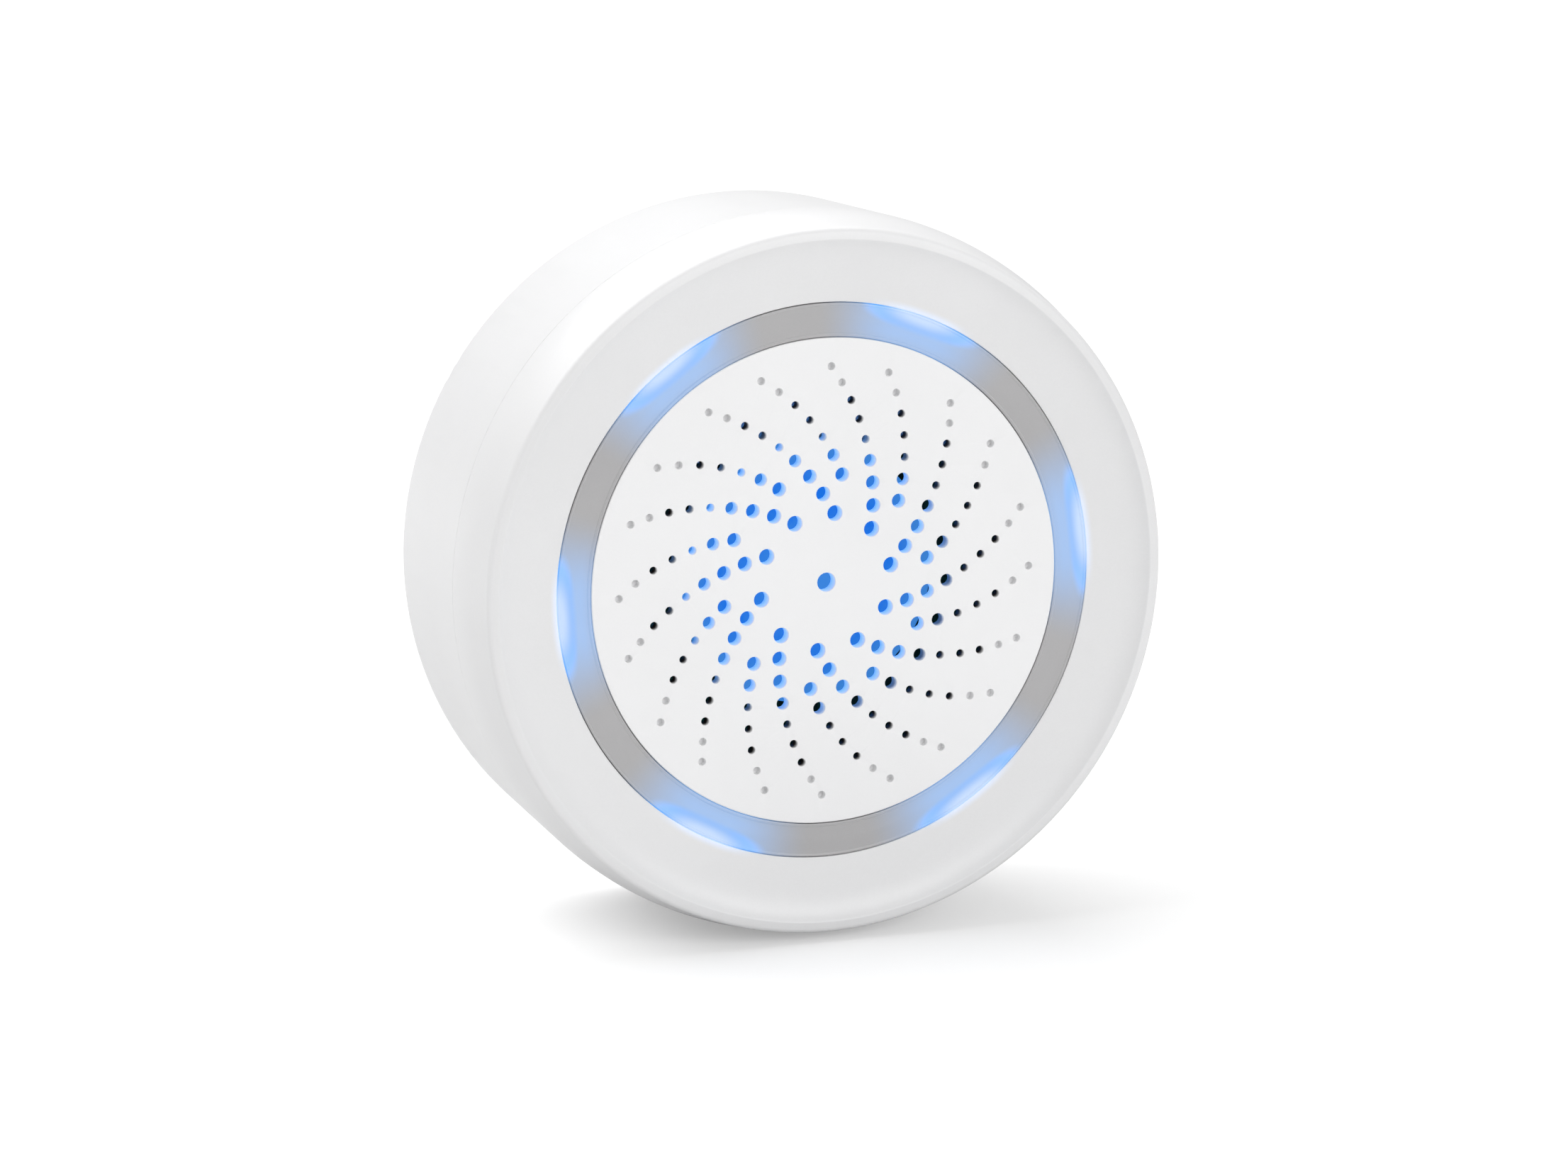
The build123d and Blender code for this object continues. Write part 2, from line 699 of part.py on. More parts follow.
def rear_body():
    body = rear_shell() + cell_bay()
    for lug in bracket_lugs():
        body += lug
    body -= block(bay_x0, bay_x1, bay_y0, floor_y + 0.5, bay_z0, bay_z1)
    leg_slot = (board_rear_y - 0.1, board_rear_y + contact_leg_width + 0.15)
    for x in (bay_x0, bay_x1 - contact_thickness):
        body -= block(x - 0.15, x + contact_thickness + 0.15, *leg_slot, bay_z0 - bay_wall - 1, bay_z0 + 1)
    for x, z in boss_places():
        post = rod(post_radius, -boss_joint + slip, floor_inner_y + 0.5, x, z)
        body += post & rod(inner_radius + 0.5, face_y, 0)
        body -= rod(well_radius, floor_y - well_depth, 1, x, z)
        body -= rod(screw_radius + 0.35, -boss_joint - 1, 0, x, z)
    for side in (-1, 1):
        x, z = side * board_post[0], board_post[1]
        body += rod(board_post_radius, board_rear_y, floor_inner_y + 0.5, x, z)
        body -= rod(board_screw_radius + thread_clearance, board_rear_y - 1, board_rear_y + 7.0, x, z)
    body += rod(plunger_radius + 1.4, floor_inner_y - plunger_guide, floor_inner_y + 0.5)
    body -= rod(plunger_radius + push_clearance, floor_inner_y - plunger_guide - 1, 1)
    guide_base = -sqrt(inner_radius ** 2 - (button_x - button_flange_radius) ** 2) - 0.3
    guide = rod_z(button_flange_radius + 0.5, guide_base, button_guide_z, button_x, button_y)
    body += guide & rod(inner_radius + 0.5, face_y, 0)
    body -= rod_z(button_radius + 0.15, -outer_radius - 5, button_guide_z + 1, button_x, button_y)
    gap = 0.15
    body -= block(-usb_width / 2 - gap, usb_width / 2 + gap,
                  board_rear_y - gap, board_rear_y + usb_height + gap,
                  -outer_radius - 5, -inner_radius + 2)
    return body


def housing_screws():
    screws = []
    seat_y = floor_y - well_depth
    for x, z in boss_places():
        head = rod(screw_head_radius, seat_y, seat_y + screw_head_height, x, z)
        slot = block(x - 1.3, x + 1.3, seat_y + 0.8, seat_y + 3, z - 0.3, z + 0.3)
        cross = block(x - 0.3, x + 0.3, seat_y + 0.8, seat_y + 3, z - 1.3, z + 1.3)
        shank = rod(screw_radius, seat_y - screw_length, seat_y + 0.1, x, z)
        screws.append(head - slot - cross + shank)
    return Compound(children=screws)


def wall_bracket():
    """Flat plate that is screwed to the wall; its tabs hook into the siren's back."""
    plate = rod(bracket_radius, -bracket_thickness, 0)
    for middle in (0, 90, 180, 270):
        plate += sector(bracket_radius + tab_reach, bracket_radius - 1, -bracket_thickness,
                        -bracket_thickness + tab_thickness, middle, tab_half_angle)
    plate -= rod(bracket_hole_radius, -bracket_thickness - 1, 1)
    for side in (-1, 1):
        head_slot = (screw_slot_radius * 2, screw_slot_length + 2 * screw_slot_radius)
        for radius, length, y1 in (
            (screw_slot_radius, screw_slot_length, 1),
            (*head_slot, -bracket_thickness + head_seat),
        ):
            slot = extrude(Plane.XZ * SlotOverall(length, 2 * radius), bracket_thickness + 3)
            plate -= Pos(side * screw_slot_spacing / 2, y1, 0) * slot
    return plate


pieces = [
    front_bezel, light_ring, grille_disc, reflector_ring, led_board, blue_leds, led_resistors,
    board_spacers, pin_header, sounder_cap, sounder_gasket, piezo_plate, piezo_ceramic, sounder_can,
    sounder_pins, main_board, board_screws, radio_board, radio_shield, controller_chip, boost_coil,
    bulk_capacitor, chip_parts, usb_socket, usb_tongue, tact_switch, tact_actuator, setup_button,
    tamper_switch, tamper_plunger, tamper_spring, backup_cell, cell_sleeve, cell_cap,
    positive_contact, negative_contact, negative_spring, rear_body, housing_screws, wall_bracket,
]

os.makedirs("parts", exist_ok=True)
for piece in pieces:
    export_step(piece(), f"parts/{piece.__name__}.step")
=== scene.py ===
import math

import bmesh
import bpy
import numpy as np
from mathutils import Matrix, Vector
from mathutils.geometry import delaunay_2d_cdt


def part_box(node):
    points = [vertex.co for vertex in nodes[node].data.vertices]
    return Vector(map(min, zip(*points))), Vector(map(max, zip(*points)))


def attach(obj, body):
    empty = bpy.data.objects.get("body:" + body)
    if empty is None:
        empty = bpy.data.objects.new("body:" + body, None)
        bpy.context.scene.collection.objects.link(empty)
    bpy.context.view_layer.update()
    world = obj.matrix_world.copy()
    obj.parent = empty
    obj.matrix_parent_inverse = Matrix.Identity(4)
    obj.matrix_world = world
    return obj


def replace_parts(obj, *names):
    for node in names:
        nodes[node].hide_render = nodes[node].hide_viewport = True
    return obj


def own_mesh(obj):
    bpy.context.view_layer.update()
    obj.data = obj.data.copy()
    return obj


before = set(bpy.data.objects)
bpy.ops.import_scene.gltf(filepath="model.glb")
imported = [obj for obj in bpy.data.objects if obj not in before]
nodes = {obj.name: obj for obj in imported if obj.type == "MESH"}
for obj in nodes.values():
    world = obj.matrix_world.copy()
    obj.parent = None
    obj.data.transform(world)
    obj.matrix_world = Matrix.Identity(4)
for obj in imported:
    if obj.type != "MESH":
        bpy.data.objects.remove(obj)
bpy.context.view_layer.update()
mm = 0.001
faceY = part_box("grille_disc")[0].y / mm     # face of the grille, in mm, with the front towards -Y
print("frame loaded:", len(nodes), "CAD nodes")


# Mesh helpers. Lengths are in mm, and the front of the siren looks along -Y.

def roundedProfile(points, radii, steps=6):
    # Each corner becomes an arc tangent to both of its sides: the tangent point lies r / tan(half the
    # corner's angle) from the corner, and the arc's centre lies r / sin(half angle) along the bisector.
    points = np.array(points, float)
    out = []
    for i, (corner, radius) in enumerate(zip(points, radii)):
        if radius == 0:
            out.append(corner[None])
            continue
        before = points[i - 1] - corner
        after = points[(i + 1) % len(points)] - corner
        before, after = before / np.linalg.norm(before), after / np.linalg.norm(after)
        half = math.acos(np.clip(before @ after, -1, 1)) / 2
        middle = (before + after) / np.linalg.norm(before + after)
        centre = corner + middle * radius / math.sin(half)
        start = corner + before * radius / math.tan(half) - centre
        end = corner + after * radius / math.tan(half) - centre
        turn = math.atan2(start[0] * end[1] - start[1] * end[0], start @ end)
        a = np.linspace(0, turn, steps + 1)
        out.append(centre + np.stack([start[0] * np.cos(a) - start[1] * np.sin(a),
                                      start[0] * np.sin(a) + start[1] * np.cos(a)], 1))
    return np.concatenate(out)


def gridFaces(rows, columns, closedRows, first=0):
    # Quads between neighbouring rows and columns. Columns always wrap, rows only when closedRows is set.
    r = np.arange(rows if closedRows else rows - 1)[:, None]
    c = np.arange(columns)[None]
    down, right = (r + 1) % rows, (c + 1) % columns
    quads = np.stack([r * columns + c, r * columns + right, down * columns + right, down * columns + c], -1)
    return quads.reshape(-1, 4) + first


def turnedGrid(profile, columns, centre=(0.0, 0.0)):
    # Point (i, j) is profile point i turned by angle 2 pi j / columns about an axis along Y through centre.
    a = np.linspace(0, 2 * np.pi, columns, endpoint=False)[None]
    r, y = profile[:, :1], profile[:, 1:]
    ring = np.stack([centre[0] + r * np.cos(a), y + 0 * a, centre[1] + r * np.sin(a)], -1)
    return ring.reshape(-1, 3)


def quarterRound(radius, rounding, side=1, steps=4):
    # A quarter of a circle from the face down to a straight wall at the radius. The face lies outside the
    # wall where side is 1, as at a hole, and inside it where side is -1, as at an outer rim.
    a = np.linspace(0, np.pi / 2, steps)
    return np.stack([radius + side * rounding * (1 - np.sin(a)), faceY + rounding * (1 - np.cos(a))], 1)


def makePiece(name, points, faces, body, material, sharpAngle=38):
    # Merges the seams, turns the faces outwards by the sign of the volume, and sets the piece on its body.
    mesh = bpy.data.meshes.new(name)
    mesh.from_pydata((np.asarray(points) * mm).tolist(), [], [list(map(int, f)) for f in faces])
    work = bmesh.new()
    work.from_mesh(mesh)
    bmesh.ops.remove_doubles(work, verts=work.verts, dist=2e-6)
    bmesh.ops.dissolve_degenerate(work, edges=work.edges, dist=1e-7)
    bmesh.ops.recalc_face_normals(work, faces=work.faces)
    if work.calc_volume(signed=True) < 0:
        bmesh.ops.reverse_faces(work, faces=work.faces)
    work.to_mesh(mesh)
    work.free()
    mesh.shade_smooth()
    mesh.set_sharp_from_angle(angle=math.radians(sharpAngle))
    piece = bpy.data.objects.new(name, mesh)
    bpy.context.scene.collection.objects.link(piece)
    mesh.materials.append(material)
    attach(piece, body)
    return piece


def softenedCopy(node, name, body, material, edge):
    # A merged copy of a CAD node, its flat faces whole again, with its sharp edges rounded by edge mm.
    work = bmesh.new()
    work.from_mesh(nodes[node].data)
    bmesh.ops.remove_doubles(work, verts=work.verts, dist=1e-6)
    bmesh.ops.dissolve_limit(work, angle_limit=math.radians(0.4), verts=work.verts, edges=work.edges)
    work.verts.index_update()
    points = np.array([v.co[:] for v in work.verts]) / mm
    faces = [[v.index for v in f.verts] for f in work.faces]
    work.free()
    piece = makePiece(name, points, faces, body, material, 30)
    rounding = piece.modifiers.new("rounded edges", "BEVEL")
    rounding.width = edge * mm
    rounding.segments = 2
    rounding.limit_method = "ANGLE"
    rounding.angle_limit = math.radians(35)
    rounding.use_clamp_overlap = True
    rounding.harden_normals = True
    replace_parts(piece, node)
    return piece


# Shader helpers. The node groups give out only masks, heights and values.

def newGroup(name, inputs, outputs):
    group = bpy.data.node_groups.new(name, "ShaderNodeTree")
    for label, kind, value in inputs:
        socket = group.interface.new_socket(label, in_out="INPUT", socket_type=kind)
        if value is not None:
            socket.default_value = value
    for label, kind in outputs:
        group.interface.new_socket(label, in_out="OUTPUT", socket_type=kind)
    return group, group.nodes.new("NodeGroupInput").outputs, group.nodes.new("NodeGroupOutput").inputs


def wire(tree, source, target):
    # Joins two sockets, or sets the target to a plain value.
    if isinstance(source, bpy.types.NodeSocket):
        tree.links.new(source, target)
    else:
        target.default_value = source


def calc(tree, operation, a, b=0.0, clamp=False):
    node = tree.nodes.new("ShaderNodeMath")
    node.operation = operation
    node.use_clamp = clamp
    wire(tree, a, node.inputs[0])
    wire(tree, b, node.inputs[1])
    return node.outputs[0]


def ramp(tree, value, low, high, start=0.0, end=1.0):
    # A smooth step from start to end while value goes from low to high.
    node = tree.nodes.new("ShaderNodeMapRange")
    node.interpolation_type = "SMOOTHSTEP"
    for socket, number in zip(node.inputs[:5], (value, low, high, start, end)):
        wire(tree, number, socket)
    return node.outputs[0]


def distance(tree, a, b, unit=1.0):
    # The square root of a squared plus b squared, in the given unit.
    squares = calc(tree, "ADD", calc(tree, "MULTIPLY", a, a), calc(tree, "MULTIPLY", b, b))
    return calc(tree, "DIVIDE", calc(tree, "SQRT", squares), unit)


def noise(tree, vector, scale, detail=3.0, roughness=0.55):
    node = tree.nodes.new("ShaderNodeTexNoise")
    wire(tree, vector, node.inputs["Vector"])
    wire(tree, scale, node.inputs["Scale"])
    node.inputs["Detail"].default_value = detail
    node.inputs["Roughness"].default_value = roughness
    return node.outputs["Fac"]


def blendColour(tree, factor, a, b):
    node = tree.nodes.new("ShaderNodeMix")
    node.data_type = "RGBA"
    wire(tree, factor, node.inputs["Factor"])
    for colour, socket in ((a, node.inputs[6]), (b, node.inputs[7])):
        wire(tree, colour if isinstance(colour, bpy.types.NodeSocket) else (*colour, 1), socket)
    return node.outputs[2]


def objectPoint(tree):
    return tree.nodes.new("ShaderNodeTexCoord").outputs["Object"]


def split(tree, vector):
    node = tree.nodes.new("ShaderNodeSeparateXYZ")
    wire(tree, vector, node.inputs[0])
    return node.outputs


grainMix = dict(fine=0.35, driftSize=22.0)      # share of the fine grain in the tone, size of the drift in mm


def mouldedGrain():
    # Fine spark-eroded texture of a moulded surface, with a slow drift of tone and gloss under it.
    group, given, result = newGroup(
        "moulded grain",
        [("Vector", "NodeSocketVector", None), ("Grain Size", "NodeSocketFloat", 0.2),
         ("Dull", "NodeSocketFloat", 0.4), ("Gloss Drift", "NodeSocketFloat", 0.08)],
        [("Height", "NodeSocketFloat"), ("Tone", "NodeSocketFloat"), ("Roughness", "NodeSocketFloat")])
    scale = calc(group, "DIVIDE", 1 / mm, given["Grain Size"])
    grain = noise(group, given["Vector"], scale, 2.0)
    drift = noise(group, given["Vector"], 1 / (grainMix["driftSize"] * mm), 3.0)
    wire(group, grain, result["Height"])
    fine = calc(group, "MULTIPLY", grain, grainMix["fine"])
    slow = calc(group, "MULTIPLY", drift, 1 - grainMix["fine"])
    wire(group, calc(group, "ADD", fine, slow), result["Tone"])
    swing = calc(group, "MULTIPLY", calc(group, "SUBTRACT", drift, 0.5), given["Gloss Drift"])
    wire(group, calc(group, "ADD", given["Dull"], swing), result["Roughness"])
    return group


def litZones():
    # Polar coordinates of the front: the distance from the axis, the distance from a shifted centre, the
    # angle to the middle of the nearest pair of lights, and a mask that fades out as that angle grows.
    group, given, result = newGroup(
        "lit zones",
        [("Vector", "NodeSocketVector", None), ("First", "NodeSocketFloat", 5.5),
         ("Pairs", "NodeSocketFloat", 6.0), ("Core", "NodeSocketFloat", 4.0),
         ("Reach", "NodeSocketFloat", 24.0), ("Shift X", "NodeSocketFloat", 0.0),
         ("Shift Z", "NodeSocketFloat", 0.0)],
        [("Radius", "NodeSocketFloat"), ("Shifted Radius", "NodeSocketFloat"), ("Away", "NodeSocketFloat"),
         ("Zone", "NodeSocketFloat")])
    x, _, z = split(group, given["Vector"])
    wire(group, distance(group, x, z, mm), result["Radius"])
    x = calc(group, "SUBTRACT", x, calc(group, "MULTIPLY", given["Shift X"], mm))
    z = calc(group, "SUBTRACT", z, calc(group, "MULTIPLY", given["Shift Z"], mm))
    wire(group, distance(group, x, z, mm), result["Shifted Radius"])
    pitch = calc(group, "DIVIDE", 360.0, given["Pairs"])
    angle = calc(group, "MULTIPLY", calc(group, "ARCTAN2", z, x), 180 / math.pi)
    turns = calc(group, "DIVIDE", calc(group, "SUBTRACT", angle, given["First"]), pitch)
    offset = calc(group, "SUBTRACT", calc(group, "FRACT", calc(group, "ADD", turns, 100.5)), 0.5)
    away = calc(group, "ABSOLUTE", calc(group, "MULTIPLY", offset, pitch))
    wire(group, away, result["Away"])
    wire(group, ramp(group, away, given["Core"], given["Reach"], 1.0, 0.0), result["Zone"])
    return group


groups = {"grain": mouldedGrain(), "zones": litZones()}


def useGroup(tree, key, vector, **values):
    node = tree.nodes.new("ShaderNodeGroup")
    node.node_tree = groups[key]
    wire(tree, vector, node.inputs["Vector"])
    for label, value in values.items():
        node.inputs[label.replace("_", " ")].default_value = value
    return node.outputs


def startMaterial(name, **plain):
    # A new material, its Principled shader with the plain values set on its own sockets.
    material = bpy.data.materials.new(name)
    material.use_nodes = True
    shader = material.node_tree.nodes["Principled BSDF"]
    for label, value in plain.items():
        shader.inputs[label.replace("_", " ")].default_value = value
    return material, material.node_tree, shader


def useBump(tree, shader, height, depth):
    # Bump from a height between 0 and 1, with its depth in mm.
    node = tree.nodes.new("ShaderNodeBump")
    wire(tree, height, node.inputs["Height"])
    node.inputs["Distance"].default_value = depth * mm
    node.inputs["Strength"].default_value = 1.0
    wire(tree, node.outputs["Normal"], shader.inputs["Normal"])


def useGrain(tree, shader, point, size, dull, depth):
    # Roughness and bump of a moulded surface. Gives back the grain's tone for the colours.
    grain = useGroup(tree, "grain", point, Grain_Size=size, Dull=dull)
    wire(tree, grain["Roughness"], shader.inputs["Roughness"])
    useBump(tree, shader, grain["Height"], depth)
    return grain["Tone"]


def useGlow(tree, shader, colour, strength=1.0):
    wire(tree, colour, shader.inputs["Emission Color"])
    shader.inputs["Emission Strength"].default_value = strength


plasticFinishes = {     # colour, second colour, roughness, grain size and grain depth in mm
    "housing_white": ((0.80, 0.80, 0.805), (0.78, 0.78, 0.785), 0.34, 0.22, 0.003),
    "reflector_white": ((0.88, 0.88, 0.87), (0.84, 0.84, 0.83), 0.5, 0.3, 0.004),
    "nylon_black": ((0.016, 0.016, 0.017), (0.03, 0.03, 0.031), 0.45, 0.25, 0.006),
    "chip_black": ((0.018, 0.018, 0.02), (0.035, 0.035, 0.037), 0.55, 0.12, 0.004),
    "foam_grey": ((0.10, 0.10, 0.105), (0.20, 0.20, 0.21), 0.9, 0.5, 0.06),
    "piezo_grey": ((0.55, 0.54, 0.50), (0.44, 0.43, 0.40), 0.6, 0.18, 0.004),
    "capacitor_sleeve": ((0.03, 0.035, 0.06), (0.05, 0.055, 0.09), 0.3, 0.6, 0.003),
    "button_grey": ((0.60, 0.60, 0.61), (0.55, 0.55, 0.56), 0.42, 0.2, 0.004),
}
toneRange = (0.35, 0.65)        # grain tones that give the first and the second colour of a plastic
metalFinishes = {       # colour, second colour, roughness, length of the drawing marks in mm
    "brass_plate": ((0.83, 0.62, 0.28), (0.66, 0.47, 0.20), 0.3, 1.2),
    "tinned_metal": ((0.74, 0.74, 0.73), (0.60, 0.60, 0.60), 0.32, 0.8),
    "screw_steel": ((0.58, 0.58, 0.60), (0.42, 0.42, 0.44), 0.36, 0.5),
    "spring_steel": ((0.66, 0.66, 0.68), (0.50, 0.50, 0.52), 0.26, 0.6),
    "cell_can": ((0.70, 0.70, 0.71), (0.60, 0.60, 0.61), 0.28, 1.6),
}
metalMarks = dict(stretch=0.1, perLength=8, tones=(0.3, 0.7), dullTones=(0.2, 0.8), dullSwing=0.16,
                  depth=0.004)


def plastic(name, colour, second, dull, size, depth):
    material, tree, shader = startMaterial(name)
    tone = useGrain(tree, shader, objectPoint(tree), size, dull, depth)
    wire(tree, blendColour(tree, ramp(tree, tone, *toneRange), colour, second), shader.inputs["Base Color"])
    return material


def metal(name, colour, second, dull, size):
    # Fine marks drawn along one direction: the noise is stretched along X.
    m = metalMarks
    material, tree, shader = startMaterial(name, Metallic=1.0)
    stretch = tree.nodes.new("ShaderNodeMapping")
    stretch.inputs["Scale"].default_value = (m["stretch"], 1, 1)
    wire(tree, objectPoint(tree), stretch.inputs["Vector"])
    marks = noise(tree, stretch.outputs["Vector"], m["perLength"] / (size * mm), 4.0)
    wire(tree, blendColour(tree, ramp(tree, marks, *m["tones"]), colour, second), shader.inputs["Base Color"])
    dulling = ramp(tree, marks, *m["dullTones"], dull, dull + m["dullSwing"])
    wire(tree, dulling, shader.inputs["Roughness"])
    useBump(tree, shader, marks, m["depth"])
    return material


housing = dict(haloInner=30.6, haloOuter=31.6, haloColour=(0.05, 0.13, 0.28), haloCore=4.0, haloReach=13.0,
               haloDepth=(0.6, 1.6), soft=0.08, softDepth=0.6, softRadius=(1.0, 0.95, 0.9))


def housingWhite():
    # White moulded housing; a short blue halo of light from the lit zones is painted on as glow onto the edge
    # beside the light ring.
    h = housing
    material, tree, shader = startMaterial("housing_white", Subsurface_Weight=h["soft"],
                                           Subsurface_Scale=h["softDepth"] * mm)
    shader.inputs["Subsurface Radius"].default_value = h["softRadius"]
    colour, second, dull, size, depth = plasticFinishes["housing_white"]
    point = objectPoint(tree)
    tone = useGrain(tree, shader, point, size, dull, depth)
    wire(tree, blendColour(tree, ramp(tree, tone, *toneRange), colour, second), shader.inputs["Base Color"])
    zones = litZonesOf(tree, point, h["haloCore"], h["haloReach"])
    near = ramp(tree, zones["Radius"], h["haloInner"], h["haloOuter"], 1.0, 0.0)
    shallow, deep = ((faceY + y) * mm for y in h["haloDepth"])
    front = ramp(tree, split(tree, point)["Y"], shallow, deep, 1.0, 0.0)
    # painted glow: the blue halo on the housing's edge beside the lit zones
    halo = calc(tree, "MULTIPLY", calc(tree, "MULTIPLY", zones["Zone"], near), front)
    useGlow(tree, shader, blendColour(tree, halo, (0, 0, 0), h["haloColour"]))
    return material


lens = dict(inner=26.92, outer=30.62, lipInner=0.26, lipOuter=0.18, lipDrop=0.02, lipRound=(0.04, 0.02),
            step=0.14, groove=0.16, grooveRound=0.06, crown=0.07, crownRound=3.0, edge=0.12,
            flange=1.3, plate=2.0, back=3.0, columns=480)
lights = dict(first=5.5, core=4.0, reach=24.0, shift=(-1.4, 0.85),
              patchAngle=10.6, patchDepth=1.6, patchInner=0.3, patchOuter=1.0, rimOuter=1.4,
              rimAlong=(0.3, 0.9, 0.5, 0.95), innerFade=(26.9, 28.1, 0.82, 1.0),
              grey=(0.43, 0.425, 0.43), greyDark=(0.40, 0.395, 0.401), greyTones=(0.3, 0.7),
              litGrey=(0.21, 0.225, 0.275), zoneGlow=(0.15, 0.31, 0.58), patchGlow=(0.36, 0.50, 0.72),
              rimGlow=(0.04, 0.29, 0.78),
              paintedStepHighlight=(0.56, 0.56, 0.565), stepRadii=(27.24, 30.38), stepFade=(0.02, 0.09, 0.8, 0.0),
              grain=(0.14, 0.38, 0.003))      # grain size, roughness, grain depth


def litZonesOf(tree, point, core, reach):
    shiftX, shiftZ = lights["shift"]
    return useGroup(tree, "zones", point, First=lights["first"], Core=core, Reach=reach,
                    Shift_X=shiftX, Shift_Z=shiftZ)


def frostedLens():
    # Frosted ring over the lights, their light painted on as glow. The broad painted glow fades out along the
    # ring. By the outer edge each pair makes a pale painted patch, half an ellipse in angle and radius, with
    # a strong blue painted rim that is strongest at its ends.
    material, tree, shader = startMaterial("frosted_lens", Coat_Weight=0.5, Coat_Roughness=0.15)
    point = objectPoint(tree)
    zones = litZonesOf(tree, point, lights["core"], lights["reach"])
    tone = useGrain(tree, shader, point, *lights["grain"])
    r = zones["Radius"]
    along = calc(tree, "DIVIDE", zones["Away"], lights["patchAngle"])
    inwards = calc(tree, "DIVIDE", calc(tree, "SUBTRACT", lens["outer"], r), lights["patchDepth"])
    patchPlace = distance(tree, along, inwards)
    patch = ramp(tree, patchPlace, lights["patchInner"], lights["patchOuter"], 1.0, 0.0)
    rim = ramp(tree, patchPlace, lights["patchOuter"], lights["rimOuter"], 1.0, 0.0)
    rim = calc(tree, "MULTIPLY", rim, ramp(tree, along, *lights["rimAlong"]))
    zone = calc(tree, "MULTIPLY", zones["Zone"], ramp(tree, r, *lights["innerFade"]))
    glow = blendColour(tree, zone, (0, 0, 0), lights["zoneGlow"])
    glow = blendColour(tree, rim, glow, lights["rimGlow"])
    useGlow(tree, shader, blendColour(tree, patch, glow, lights["patchGlow"]))
    grey = blendColour(tree, ramp(tree, tone, *lights["greyTones"]), lights["grey"], lights["greyDark"])
    # painted highlight lines where the moulded steps beside the lips catch the light
    for line in lights["stepRadii"]:        # the moulded steps beside the lips catch the light
        fromLine = calc(tree, "ABSOLUTE", calc(tree, "SUBTRACT", r, line))
        grey = blendColour(tree, ramp(tree, fromLine, *lights["stepFade"]), grey, lights["paintedStepHighlight"])
    wire(tree, blendColour(tree, zone, grey, lights["litGrey"]), shader.inputs["Base Color"])
    return material


grille = dict(radius=26.84, edge=0.15, thickness=1.5, plate=2.0, rimInner=25.62, columns=360,
              holeRound=0.09, holeColumns=20, pairs=10, pitch=18.0, centreHole=1.05,
              dimpleRadius=0.42, dimpleDepth=0.85, dimples=2, dimplesFrom=21.0)
boreGlowAndShade = dict(radius=17.2, fade=3.4, shift=(-1.4, 0.9), glowDepth=(0.04, 0.3), blueDepth=(0.06, 1.35),
                 nearColour=(0.12, 0.17, 0.27), deepColour=(0.05, 0.19, 0.50), litWhite=(0.66, 0.74, 0.86),
                 boreShadeDepth=(0.04, 0.9), boreShadeColour=(0.05, 0.040, 0.034), boreShadeEdge=0.2)
grilleFinish = dict(white=(0.89, 0.89, 0.895), second=(0.87, 0.87, 0.875), soft=0.1, softDepth=0.5,
                    softRadius=(1.0, 0.97, 0.95), grain=(0.18, 0.42, 0.003))


def grilleWhite():
    # The face is white. Over the sounder the bores get a painted blue glow, more with depth. Further out they
    # get painted shade, darker with depth.
    b, finish = boreGlowAndShade, grilleFinish
    material, tree, shader = startMaterial("grille_white", Subsurface_Weight=finish["soft"],
                                           Subsurface_Scale=finish["softDepth"] * mm)
    shader.inputs["Subsurface Radius"].default_value = finish["softRadius"]
    point = objectPoint(tree)
    tone = useGrain(tree, shader, point, *finish["grain"])
    zones = useGroup(tree, "zones", point, Shift_X=b["shift"][0], Shift_Z=b["shift"][1])
    depth = calc(tree, "SUBTRACT", calc(tree, "DIVIDE", split(tree, point)["Y"], mm), faceY)
    over = ramp(tree, zones["Shifted Radius"], b["radius"] - b["fade"], b["radius"], 1.0, 0.0)
    glow = calc(tree, "MULTIPLY", over, ramp(tree, depth, *b["glowDepth"]))
    blue = blendColour(tree, ramp(tree, depth, *b["blueDepth"]), b["nearColour"], b["deepColour"])
    useGlow(tree, shader, blendColour(tree, glow, (0, 0, 0), blue))
    white = blendColour(tree, ramp(tree, tone, *toneRange), finish["white"], finish["second"])
    white = blendColour(tree, glow, white, b["litWhite"])
    # painted shade deep in the bores of the through holes, outside the blue glow
    shadeInBore = calc(tree, "MULTIPLY", ramp(tree, depth, *b["boreShadeDepth"]), calc(tree, "SUBTRACT", 1.0, over))
    limit = grille["dimplesFrom"]       # the blind dimples outside this radius stay white
    through = ramp(tree, zones["Radius"], limit - b["boreShadeEdge"], limit + b["boreShadeEdge"], 1.0, 0.0)
    paintedBoreShade = calc(tree, "MULTIPLY", shadeInBore, through)
    wire(tree, blendColour(tree, paintedBoreShade, white, b["boreShadeColour"]), shader.inputs["Base Color"])
    return material


capLight = dict(colour=(0.04, 0.20, 0.56), strong=(0.0, 0.125, 0.62), ring=8.5, ringFade=(0.5, 6.0),
                mottle=(0.35, 0.6, 0.6, 1.0), depth=(7.0, 9.0), plain=(0.80, 0.80, 0.79),
                litBase=(0.03, 0.07, 0.14), grain=(0.4, 0.45, 0.01))


